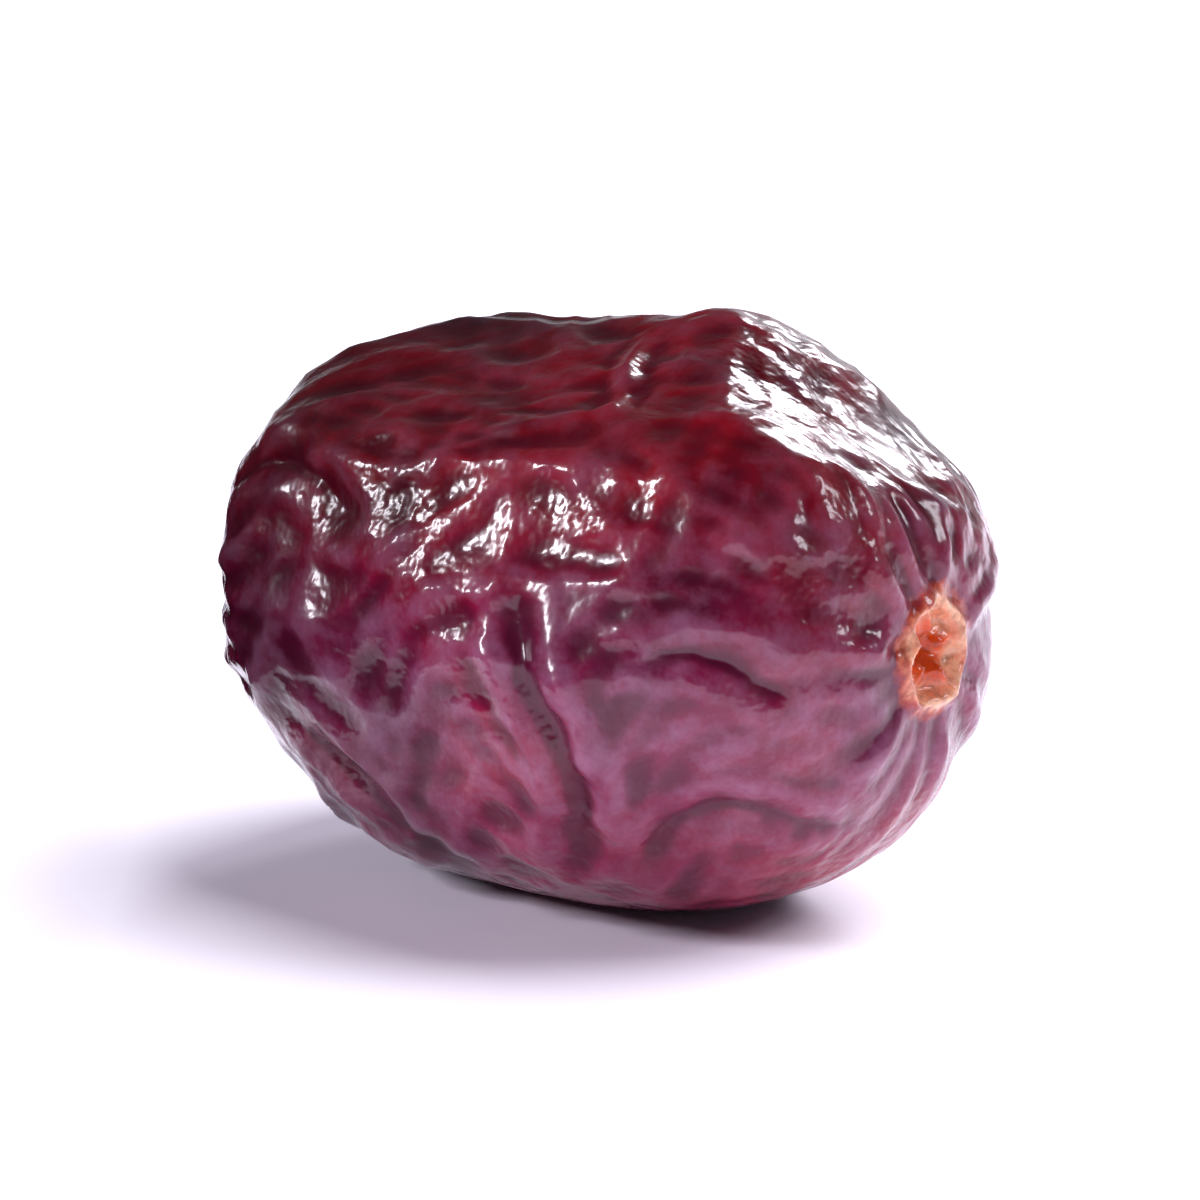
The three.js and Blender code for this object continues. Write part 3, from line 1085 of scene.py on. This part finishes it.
@dataclass(frozen=True)
class Studio:
    """The pale table, the soft lights and the camera. Angles are in degrees and places in metres."""

    azimuth: float = 38.0
    elevation: float = 11.0
    distance: float = 0.058
    lens: float = 85.0
    nearest: float = 0.001
    daylight: str = "#f9f6ff"
    overhead_strength: float = 5.0
    overhead_width: float = 50.0
    overhead_azimuth: float = 105.0
    overhead_elevation: float = 58.0
    lights: tuple[Softbox, ...] = (
        Softbox("left_window", -80, 28, 0.4, (0.05, 0.12), 1.3),
        Softbox("right_window", 157, 30, 0.4, (0.1, 0.13), 0.55),
        Softbox("right_fill", 82, 36, 0.4, (0.12, 0.1), 0.5),
    )
    flag_azimuth: float = -85.0
    flag_away: float = 0.0098
    flag_lift: float = 0.001
    flag_size: tuple[float, float, float] = (0.019, 0.0104, 1.0)
    table_size: tuple[float, float, float] = (6.0, 6.0, 1.0)
    table_clear: float = 0.00001
    # The room's brightness: low down, behind the berry, everywhere, and as the camera sees it.
    low_down: Run = Run(0.02, 0.36, 1.0, 0.0)
    behind: Run = Run(0.1, 0.95, 0.12, 0.62)
    behind_azimuth: float = -30.0
    everywhere: float = 0.04
    backdrop: float = 1.1

    def side(self, azimuth: float, elevation: float) -> Vector:
        """Finds the direction from the berry towards a place round it.

        Args:
            azimuth: The angle from the camera's, to the right.
            elevation: The angle above the table.

        Returns:
            The direction, of length 1.
        """
        a, e = math.radians(self.azimuth + azimuth), math.radians(elevation)
        return Vector((math.sin(a) * math.cos(e), -math.cos(a) * math.cos(e), math.sin(e)))

    def aim(self, thing: bpy.types.Object, target: Vector, away: Vector) -> None:
        """Puts a thing away from the target and turns it to look there.

        Args:
            thing: A camera or a light.
            target: What it looks at.
            away: Its place from the target.
        """
        thing.location = target + away
        thing.rotation_euler = (-away).to_track_quat("-Z", "Y").to_euler()
        bpy.context.scene.collection.objects.link(thing)

    def camera(self, target: Vector) -> None:
        """Sets up the camera at the photograph's angle.

        Args:
            target: What it looks at.
        """
        data = bpy.data.cameras.new("camera")
        data.lens = self.lens
        data.clip_start = self.nearest
        camera = bpy.data.objects.new("camera", data)
        self.aim(camera, target, self.side(0.0, self.elevation) * self.distance)
        bpy.context.scene.camera = camera

    def light(self, box: Softbox, target: Vector) -> None:
        """Hangs one softbox.

        Args:
            box: The softbox.
            target: What it looks at.
        """
        data = bpy.data.lights.new(box.name, "AREA")
        data.shape = "RECTANGLE"
        data.size, data.size_y = box.size
        data.energy = box.watts
        data.color = colour(self.daylight)[:3]
        lamp = bpy.data.objects.new(box.name, data)
        self.aim(lamp, target, self.side(box.azimuth, box.elevation) * box.away)

    def overhead(self, table: bpy.types.Object, target: Vector) -> None:
        """Hangs a wide soft light that lights the whole table evenly, and the table alone.

        Args:
            table: The table.
            target: What it looks at.
        """
        data = bpy.data.lights.new("overhead", "SUN")
        data.energy = self.overhead_strength
        data.angle = math.radians(self.overhead_width)
        lamp = bpy.data.objects.new("overhead", data)
        self.aim(lamp, target, self.side(self.overhead_azimuth, self.overhead_elevation))
        table_only = bpy.data.collections.new("table_light")
        table_only.objects.link(table)
        lamp.light_linking.receiver_collection = table_only

    def table(self) -> bpy.types.Object:
        """Lays a wide pale table, a hair under the berry's foot.

        Returns:
            The table.
        """
        table = BOARD.cut("table", self.table_size)
        table.location = (0.0, 0.0, -self.table_clear)
        bpy.context.scene.collection.objects.link(table)
        table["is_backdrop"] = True
        return table

    def flag(self, target: Vector) -> None:
        """Hangs a dark flag close beside the berry, unseen by the camera and without a shadow.

        Args:
            target: What it faces.
        """
        flag = CLOTH.cut("flag", self.flag_size)
        lifted = target + Vector((0, 0, self.flag_lift))
        self.aim(flag, lifted, self.side(self.flag_azimuth, 0.0) * self.flag_away)
        flag.visible_camera = False
        flag.visible_shadow = False
        flag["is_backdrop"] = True

    def room(self) -> None:
        """Lights the room: white behind the berry and low down, dim overhead and in front."""
        world = bpy.data.worlds.new("studio")
        world.use_nodes = True
        bpy.context.scene.world = world
        tree = world.node_tree
        tree.nodes.clear()
        direction = add_node(tree, "TexCoord").outputs["Generated"]
        towards = -self.side(self.behind_azimuth, 0.0)
        facing = add_node(tree, "VectorMath", (direction, towards), operation="DOT_PRODUCT")
        height = add_node(tree, "SeparateXYZ", (direction,)).outputs["Z"]
        low = add_node(tree, "MapRange", (height, *self.low_down))
        back = add_node(tree, "MapRange", (facing, *self.behind))
        glow = add_node(tree, "Math", (low, back, self.everywhere), operation="MULTIPLY_ADD")
        seen = add_node(tree, "LightPath").outputs["Is Camera Ray"]
        strength = add_node(tree, "Mix", {0: seen, 2: glow, 3: self.backdrop}, data_type="FLOAT")
        background = add_node(tree, "Background", (colour(self.daylight), strength))
        add_node(tree, "OutputWorld", {"Surface": background})

    def build(self, target: Vector) -> None:
        """Sets everything up round the target.

        Args:
            target: What the camera and the lights look at.
        """
        self.camera(target)
        self.room()
        self.overhead(self.table(), target)
        self.flag(target)
        for box in self.lights:
            self.light(box, target)
        bpy.context.scene.view_settings.view_transform = "Standard"


def as_lists(bounds: object) -> list[list[float]]:
    """Bounds as plain lists of numbers."""
    return [[float(c) for c in corner] for corner in bounds]


def main() -> None:
    """Builds the berry, dresses it, sets the studio up round it and logs the berry's faces and middle."""
    logging.basicConfig(level=logging.INFO, format="%(message)s")
    cad_box = as_lists(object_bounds())
    berry = Berry().build()
    LOG.info("berry: %d faces", len(berry.data.polygons))
    middle = (Vector(cad_box[0]) + Vector(cad_box[1])) / 2
    Studio().build(middle)
    LOG.info("studio: the berry's middle is at %s", tuple(middle))


if __name__ == "__main__":
    main()
